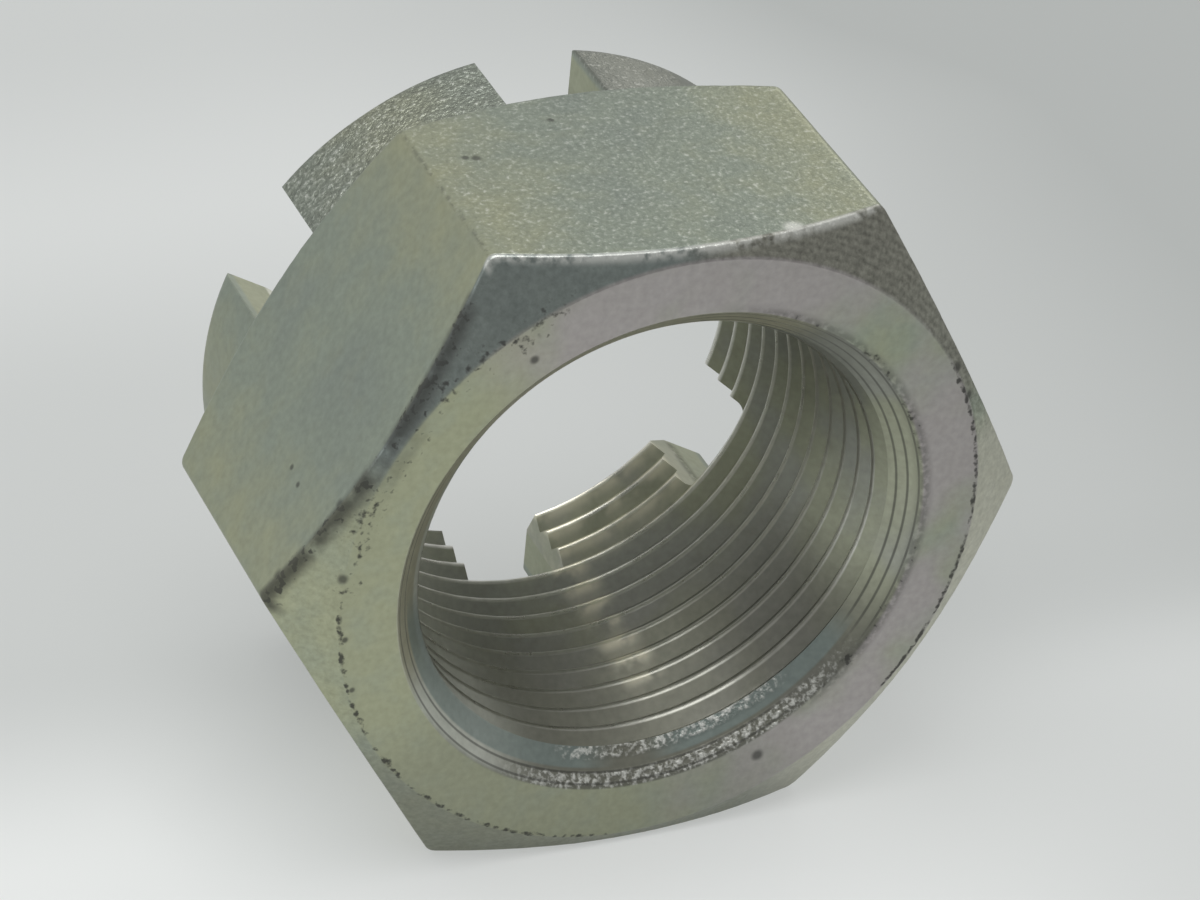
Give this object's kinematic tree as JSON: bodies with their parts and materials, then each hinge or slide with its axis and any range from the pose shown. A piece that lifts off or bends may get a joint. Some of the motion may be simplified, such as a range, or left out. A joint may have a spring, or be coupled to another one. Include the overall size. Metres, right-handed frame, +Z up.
{
  "type": "castle nut",
  "caption": "Hexagon castle nut with a fine metric thread and a slotted round crown that takes a split pin to lock it.",
  "frame": {"origin": "middle of the hexagon flat that the nut lies on, halfway along its height", "axes": "+Z up from the flat that the nut lies on, +Y along the thread from the bearing face to the crown, +X across two corners of the hexagon"},
  "size_m": [0.0368, 0.02, 0.032],
  "materials": {
    "zinc_plate": "zinc plated and passivated steel, satin grey-green with a pale yellow and violet tint"
  },
  "bodies": {
    "root": {"castle_nut": "zinc_plate"}
  },
  "joints": []
}
